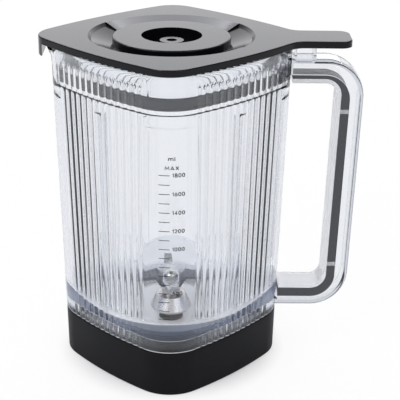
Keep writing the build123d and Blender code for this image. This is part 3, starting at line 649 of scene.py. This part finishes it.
jar_plastic = make_clear_plastic("jar_plastic", 0.0, 0.03, (0.35, 0.41, 0.54), 32.0, CLEARNESS)
frame_plastic = make_clear_plastic("frame_plastic", 0.0, 0.04, (0.33, 0.38, 0.48), 34.0)
cover_plastic = make_clear_plastic("cover_plastic", 0.05, 0.1, (0.33, 0.38, 0.48), 20.0, 0.75,
                                   (0.94, 0.94, 0.945))
skirt_plastic = make_clear_plastic("skirt_plastic", 0.0, 0.05, (0.34, 0.40, 0.50), 30.0)
collar_black = make_solid_finish("collar_black", (0.005, 0.005, 0.006), (0.006, 0.006, 0.0072), 0.46, 0.5,
                                 scale=900.0, specular=0.12)
lid_black = make_solid_finish("lid_black", (0.003, 0.003, 0.004), (0.004, 0.004, 0.005), 0.15, 0.17,
                              scale=120.0, specular=0.2)
cap_black = make_solid_finish("cap_black", (0.003, 0.003, 0.004), (0.004, 0.004, 0.005), 0.15, 0.17,
                              scale=120.0, specular=0.2)
drive_black = make_solid_finish("drive_black", (0.02, 0.02, 0.02), (0.03, 0.03, 0.03), 0.5, 0.6)
core_grey = make_solid_finish("core_grey", (0.045, 0.048, 0.055), (0.055, 0.058, 0.065), 0.38, 0.48,
                              scale=500.0)
seal_grey = make_solid_finish("seal_grey", (0.03, 0.036, 0.046), (0.04, 0.047, 0.058), 0.5, 0.62,
                              scale=500.0)
seal_black = make_solid_finish("seal_black", (0.02, 0.02, 0.02), (0.03, 0.03, 0.03), 0.6, 0.7)
polished_steel = make_solid_finish("polished_steel", (0.60, 0.59, 0.57), (0.70, 0.69, 0.67), 0.10, 0.2,
                                   scale=250.0, metallic=1.0, stretch=(1.0, 1.0, 12.0))
# The housing's neck carries a painted dark reflection
housing_steel = make_solid_finish("housing_steel", (0.61, 0.595, 0.59), (0.69, 0.67, 0.665), 0.16, 0.24,
                                  scale=250.0, metallic=1.0, stretch=(1.0, 1.0, 12.0), neck=NECK_HEIGHT)
ground_steel = make_solid_finish("ground_steel", (0.42, 0.43, 0.46), (0.55, 0.56, 0.58), 0.2, 0.32,
                                 scale=200.0, metallic=1.0, stretch=(1.0, 10.0, 1.0))
# Lower blade: a darker, bluer copy of the blade steel, painted shade and a painted dark reflection
dark_steel = make_solid_finish("dark_steel", (0.07, 0.078, 0.103), (0.1, 0.108, 0.137), 0.25, 0.36,
                               scale=200.0, metallic=1.0, stretch=(10.0, 1.0, 1.0))
black_steel = make_solid_finish("black_steel", (0.02, 0.02, 0.022), (0.035, 0.035, 0.038), 0.4, 0.5,
                                metallic=1.0)
bush_bronze = make_solid_finish("bush_bronze", (0.42, 0.28, 0.14), (0.55, 0.38, 0.2), 0.35, 0.5,
                                metallic=1.0)
scale_ink = make_solid_finish("scale_ink", (0.003, 0.003, 0.004), (0.006, 0.006, 0.007), 0.5, 0.6,
                              scale=2000.0)

# Body, material slot and material of each CAD node that a finished copy stands for
FINISHES = {
    "handle_frame": ("jar", "clear_plastic", frame_plastic),
    "handle_cover": ("jar", "clear_plastic", cover_plastic),
    "handle_core": ("jar", "grey_insert", core_grey),
    "base_collar": ("jar", "black_plastic", collar_black),
    "collar_screws": ("jar", "stainless", polished_steel),
    "floor_gasket": ("jar", "black_seal", seal_black),
    "bearing_housing": ("jar", "stainless", housing_steel),
    "lock_washer": ("jar", "stainless", black_steel),
    "retaining_nut": ("jar", "stainless", black_steel),
    "lower_bush": ("jar", "bronze", bush_bronze),
    "upper_bush": ("jar", "bronze", bush_bronze),
    "shaft_seal": ("jar", "black_seal", seal_black),
    "shaft": ("rotor", "stainless", polished_steel),
    "circlip": ("rotor", "stainless", polished_steel),
    "thrust_washer": ("rotor", "stainless", polished_steel),
    "blade_spacer": ("rotor", "stainless", polished_steel),
    # The lower blade's steel is a painted shaded copy of the upper blade's
    "lower_blade": ("rotor", "blade_steel", dark_steel),
    "blade_washer": ("rotor", "stainless", polished_steel),
    "upper_blade": ("rotor", "blade_steel", ground_steel),
    "blade_nut": ("rotor", "stainless", polished_steel),
    "drive_coupling": ("rotor", "drive_plastic", drive_black),
    "lid_cover": ("lid", "black_plastic", lid_black),
    "lid_skirt": ("lid", "clear_plastic", skirt_plastic),
    "lid_gasket": ("lid", "grey_seal", seal_grey),
    "filler_cap": ("cap", "black_plastic", cap_black),
    "cap_gasket": ("cap", "grey_seal", seal_grey),
}


def on_front_panel(points):
    """Places flat print, given as (x, height), on the curved outer face of the front corner panel."""
    points = np.asarray(points, dtype=float)
    wrapped = []
    for x, z in points:
        half_diagonal, _, radius = jar_sizes(z)
        reach = half_diagonal - radius + sqrt(radius**2 - x * x) + PRINT_LIFT
        wrapped.append((x, -reach, z))
    return np.array(wrapped)


class MarkTree(TreeBuilder):
    """Short hand for building the node tree of the scale marks."""

    def __init__(self, name):
        super().__init__(bpy.data.node_groups.new(name, "GeometryNodeTree"))
        self.entry = self.add("NodeGroupInput")
        self.ids = {}

    def ask(self, name, kind):
        """Named input of the tree, as an output socket of its entry node."""
        item = self.tree.interface.new_socket(name, in_out="INPUT", socket_type="NodeSocket" + kind)
        self.ids[name] = item.identifier
        return self.entry.outputs[name]

    def vector(self, x, y, z):
        """Place made of three values."""
        return self.add("ShaderNodeCombineXYZ", X=x, Y=y, Z=z).outputs["Vector"]


def build_mark_tree():
    """Node tree that repeats a mark up the front panel and wraps the row on the panel's round face."""
    build = MarkTree("scale_marks")
    marks = build.ask("Marks", "Int")
    first = build.ask("First Height", "Float")
    step = build.ask("Step", "Float")
    length = build.ask("Mark Length", "Float")
    middle = build.ask("Mark Middle", "Float")
    height = build.ask("Mark Height", "Float")
    radius = build.ask("Panel Radius", "Float")
    reach = build.ask("Panel Reach", "Float")
    lean = build.ask("Panel Lean", "Float")
    ink = build.ask("Ink", "Material")
    row = build.add("GeometryNodeMeshLine", Count=marks)
    build.put(row.inputs["Start Location"], build.vector(0.0, 0.0, first))
    build.put(row.inputs["Offset"], build.vector(0.0, 0.0, step))
    mark = build.add("GeometryNodeMeshGrid", Size_X=length, Size_Y=height,
                     Vertices_X=MARK_POINTS, Vertices_Y=2)
    upright = build.add("GeometryNodeTransform", Geometry=mark.outputs["Mesh"], Rotation=(pi / 2, 0.0, 0.0))
    build.put(upright.inputs["Translation"], build.vector(middle, 0.0, 0.0))
    placed = build.add("GeometryNodeInstanceOnPoints", Points=row.outputs["Mesh"],
                       Instance=upright.outputs["Geometry"])
    plain = build.add("GeometryNodeRealizeInstances", Geometry=placed.outputs["Instances"])
    position = build.add("GeometryNodeInputPosition").outputs["Position"]
    place = build.add("ShaderNodeSeparateXYZ", Vector=position)
    x, z = place.outputs["X"], place.outputs["Z"]
    squares = build.work_out("SUBTRACT", build.work_out("MULTIPLY", radius, radius),
                             build.work_out("MULTIPLY", x, x))
    bow = build.work_out("SUBTRACT", build.work_out("SQRT", squares), radius)
    face = build.work_out("ADD", build.work_out("MULTIPLY", z, lean), bow)
    outwards = build.work_out("MULTIPLY", build.work_out("ADD", face, reach), -1.0)
    wrapped = build.add("GeometryNodeSetPosition", Geometry=plain.outputs["Geometry"],
                        Position=build.vector(x, outwards, z))
    inked = build.add("GeometryNodeSetMaterial", Geometry=wrapped.outputs["Geometry"], Material=ink)
    build.tree.interface.new_socket("Geometry", in_out="OUTPUT", socket_type="NodeSocketGeometry")
    leave = build.tree.nodes.new("NodeGroupOutput")
    build.tree.links.new(inked.outputs["Geometry"], leave.inputs["Geometry"])
    return build


def make_scale_ticks():
    """Row of scale marks, made by the node tree and kept as a plain mesh."""
    build = build_mark_tree()
    lean = (jar_sizes(RIM)[0] - jar_sizes(COLLAR_TOP)[0]) / (RIM - COLLAR_TOP)
    values = {
        "Marks": SCALE_LAST - SCALE_FIRST + 1,
        "First Height": (SCALE_MARK_ZERO + SCALE_STEP * SCALE_FIRST) * MM,
        "Step": SCALE_STEP * MM,
        "Mark Length": (TICK_RIGHT - TICK_LEFT) * MM,
        "Mark Middle": (TICK_RIGHT + TICK_LEFT) / 2 * MM,
        "Mark Height": TICK_HEIGHT * MM,
        "Panel Radius": CORNER_RADIUS * MM,
        "Panel Reach": (jar_sizes(0.0)[0] + PRINT_LIFT) * MM,
        "Panel Lean": lean,
        "Ink": scale_ink,
    }
    holder = bpy.data.objects.new("scale_marks_holder", bpy.data.meshes.new("scale_marks_holder"))
    bpy.context.scene.collection.objects.link(holder)
    repeat = holder.modifiers.new("scale_marks", "NODES")
    repeat.node_group = build.tree
    for name, value in values.items():
        repeat[build.ids[name]] = value
    bpy.context.view_layer.update()
    mesh = bpy.data.meshes.new_from_object(holder.evaluated_get(bpy.context.evaluated_depsgraph_get()))
    bpy.data.objects.remove(holder)
    ticks = bpy.data.objects.new("scale_ticks", mesh)
    bpy.context.scene.collection.objects.link(ticks)
    return settle(ticks, "jar", "black_plastic", [scale_ink])


def arc(x, y, across, up, start, end):
    """Points on part of an ellipse, with its angles in degrees."""
    angles = np.radians(np.linspace(start, end, ARC_POINTS))
    return [(x + across * cos(angle), y + up * sin(angle)) for angle in angles]


def letter_strokes(letter):
    """Pen strokes of one letter of height 1, standing on the line, and the letter's width."""
    if letter == "0":
        return [arc(0.25, 0.5, 0.25, 0.5, 0, 360)], 0.5
    if letter == "1":
        return [[(0.0, 0.76), (0.18, 1.0), (0.18, 0.0)]], 0.2
    if letter == "2":
        return [arc(0.24, 0.7, 0.23, 0.3, 165, -40) + [(0.02, 0.0), (0.48, 0.0)]], 0.48
    if letter == "4":
        return [[(0.54, 0.28), (0.0, 0.28), (0.38, 1.0), (0.38, 0.0)]], 0.54
    if letter == "5":
        return [[(0.54, 1.0), (0.14, 1.0), (0.09, 0.52)] + arc(0.28, 0.33, 0.28, 0.33, 130, -150)], 0.56
    if letter == "6":
        return [arc(0.25, 0.31, 0.25, 0.31, 0, 360), [(0.03, 0.46), (0.32, 1.0)]], 0.5
    if letter == "8":
        return [arc(0.25, 0.76, 0.2, 0.24, 0, 360), arc(0.25, 0.26, 0.25, 0.26, 0, 360)], 0.5
    if letter == "M":
        return [[(0.0, 0.0), (0.1, 1.0), (0.45, 0.25), (0.8, 1.0), (0.9, 0.0)]], 0.98
    if letter == "A":
        return [[(0.0, 0.0), (0.37, 1.0), (0.74, 0.0)], [(0.11, 0.26), (0.63, 0.26)]], 0.82
    if letter == "X":
        return [[(0.0, 0.0), (0.66, 1.0)], [(0.0, 1.0), (0.66, 0.0)]], 0.66
    if letter == "m":
        left_hump = arc(0.24, 0.46, 0.24, 0.22, 180, 0) + [(0.48, 0.0)]
        right_hump = arc(0.72, 0.46, 0.24, 0.22, 180, 0) + [(0.96, 0.0)]
        return [[(0.0, 0.68), (0.0, 0.0)], left_hump, right_hump], 1.02
    return [[(0.0, 0.0), (0.0, 1.0)]], 0.1


def pen_line(points, width):
    """Flat band of even width along a pen stroke: its points and its faces."""
    points = np.array(points)
    closed = np.allclose(points[0], points[-1])
    steps = np.diff(points, axis=0)
    steps /= np.linalg.norm(steps, axis=1)[:, None]
    before = np.vstack((steps[-1:] if closed else steps[:1], steps))
    after = np.vstack((steps, steps[:1] if closed else steps[-1:]))
    across = np.column_stack((-(before + after)[:, 1], (before + after)[:, 0]))
    across /= np.linalg.norm(across, axis=1)[:, None]
    turn = np.sum(across * np.column_stack((-after[:, 1], after[:, 0])), axis=1)
    bend = np.clip(turn, SHARPEST_BEND, 1.0)
    shift = across * (width / 2 / bend)[:, None]
    count = len(points)
    faces = [(count + i, count + i + 1, i + 1, i) for i in range(count - 1)]
    return np.vstack((points + shift, points - shift)), faces


def make_lettering(name, text, left, middle, height, centred=False):
    """One line of print on the front panel, drawn with an even pen."""
    vertices, faces = [], []
    place = 0.0
    tall = height - PRINT_STROKE
    for letter in text:
        strokes, width = letter_strokes(letter)
        for stroke in strokes:
            line = np.array(stroke) * np.array((height, tall)) + np.array((place, PRINT_STROKE / 2))
            points, quads = pen_line(line, PRINT_STROKE)
            faces += [tuple(len(vertices) + corner for corner in quad) for quad in quads]
            vertices += [tuple(point) for point in points]
        place += (width + LETTER_GAP) * height
    full = place - LETTER_GAP * height
    start = np.array((left - full / 2 if centred else left, middle - height / 2))
    wrapped = on_front_panel(np.array(vertices) + start)
    return piece_from(name, wrapped, faces, "jar", "black_plastic", [scale_ink])


def make_scale():
    """Printed scale: marks, numbers, the word at the top mark and the unit."""
    make_scale_ticks()
    for mark in SCALE_NUMBERS:
        number = str(mark * SCALE_MARK_VOLUME)
        z = SCALE_MARK_ZERO + SCALE_STEP * mark + NUMBER_RISE
        make_lettering(f"scale_number_{mark:02d}", number, NUMBER_LEFT, z, NUMBER_HEIGHT)
    top = SCALE_MARK_ZERO + SCALE_STEP * SCALE_LAST
    make_lettering("scale_top_word", "MAX", WORD_MIDDLE, top + WORD_RISE, WORD_HEIGHT, True)
    make_lettering("scale_unit", "ml", WORD_MIDDLE, top + UNIT_RISE, UNIT_HEIGHT, True)


def make_stage():
    """Pale floor that keeps the jar's soft shadow, white to the camera, with a painted shadow under the jar.
    """
    build = Finish("pale_floor")
    path = build.add("LightPath")
    seen = build.work_out("MAXIMUM", path.outputs["Is Camera Ray"], path.outputs["Is Transmission Ray"])
    length = build.add("VectorMath", Vector=build.add("TexCoord").outputs["Object"])
    length.operation = "LENGTH"
    distance = length.outputs["Value"]
    clear_of_jar = build.span(distance, *WHITE_RANGE, high=WHITE_SHARE)
    # The floor's colour is darker under the jar: a painted shadow
    pale = build.add("BsdfDiffuse", Color=build.span(distance, *PAINTED_SHADOW_RANGE, *PAINTED_SHADOW_LEVELS))
    white = build.add("Emission", Strength=1.0)
    part = build.work_out("MULTIPLY", seen, clear_of_jar)
    surface = build.pick(part, pale.outputs["BSDF"], white.outputs["Emission"])
    mesh = bpy.data.meshes.new("floor")
    near, far = -FLOOR_REACH, FLOOR_REACH
    mesh.from_pydata([(near, near, 0), (far, near, 0), (far, far, 0), (near, far, 0)], [], [(0, 1, 2, 3)])
    mesh.materials.append(build.shade(surface))
    floor = bpy.data.objects.new("floor", mesh)
    bpy.context.scene.collection.objects.link(floor)
    floor.location.z = -FLOOR_DROP


def make_world():
    """Studio surround, white to the camera, and greyer at the sides for what glints and bends light."""
    world = bpy.data.worlds.new("studio")
    world.use_nodes = True
    bpy.context.scene.world = world
    build = ShaderTree(world.node_tree)
    build.tree.nodes.clear()
    direction = build.add("SeparateXYZ", Vector=build.add("TexCoord").outputs["Generated"])
    sideways = build.work_out("ABSOLUTE", direction.outputs["X"])
    ramp = build.add("ValToRGB", Fac=sideways)
    for stop, place, colour in zip(ramp.color_ramp.elements, SIDE_RANGE, ((1.0, 1.0, 1.0), SIDE_GREY)):
        stop.position = place
        stop.color = (*colour, 1.0)
    level = build.span(direction.outputs["Y"], *FRONT_RANGE, low=FRONT_LEVEL)
    around = build.add("Background", Color=ramp.outputs["Color"], Strength=level)
    seen = build.add("Background", Color=(1.0, 1.0, 1.0, 1.0))
    to_camera = build.add("LightPath").outputs["Is Camera Ray"]
    surround = build.pick(to_camera, around.outputs["Background"], seen.outputs["Background"])
    build.add("OutputWorld", Surface=surround)


def make_lamp(name, place, target, size, power):
    """Soft square lamp that looks at a point."""
    light = bpy.data.lights.new(name, "AREA")
    light.shape = "RECTANGLE"
    light.size, light.size_y = size
    light.energy = power
    lamp = bpy.data.objects.new(name, light)
    lamp.location = place
    lamp.rotation_euler = (Vector(target) - Vector(place)).to_track_quat("-Z", "Y").to_euler()
    bpy.context.scene.collection.objects.link(lamp)
    return lamp


def make_lamps():
    """Key and fill lamps in front, a softbox behind, and a card over the lid that shows only in gloss."""
    lamps = {name: make_lamp(name, *setting) for name, setting in LAMPS.items()}
    lamps["top_card"].visible_diffuse = False
    for name in ("back_softbox", "top_card"):
        lamps[name].data.color = COOL_LIGHT
        lamps[name].visible_transmission = False
        lamps[name].visible_camera = False


def make_camera():
    """Camera at the photograph's view."""
    level = cos(CAMERA_PITCH)
    ahead = Vector((-sin(CAMERA_AZIMUTH) * level, cos(CAMERA_AZIMUTH) * level, -sin(CAMERA_PITCH)))
    right = ahead.cross(Vector((0, 0, 1))).normalized()
    up = right.cross(ahead)
    turned_right = right * cos(CAMERA_ROLL) + up * sin(CAMERA_ROLL)
    turned_up = up * cos(CAMERA_ROLL) - right * sin(CAMERA_ROLL)
    data = bpy.data.cameras.new("camera")
    data.sensor_width = CAMERA_SENSOR
    data.lens = CAMERA_LENS
    camera = bpy.data.objects.new("camera", data)
    turn = Matrix((turned_right, turned_up, -ahead)).transposed()
    camera.matrix_world = Matrix.Translation(CAMERA_PLACE) @ turn.to_4x4()
    bpy.context.scene.collection.objects.link(camera)
    bpy.context.scene.camera = camera


make_jar_shell()
for node_name, (body, slot, material) in FINISHES.items():
    finished_copy(node_name, body, slot, material)
make_scale()
make_stage()
make_world()
make_lamps()
make_camera()
scene = bpy.context.scene
scene.view_settings.view_transform = "Standard"
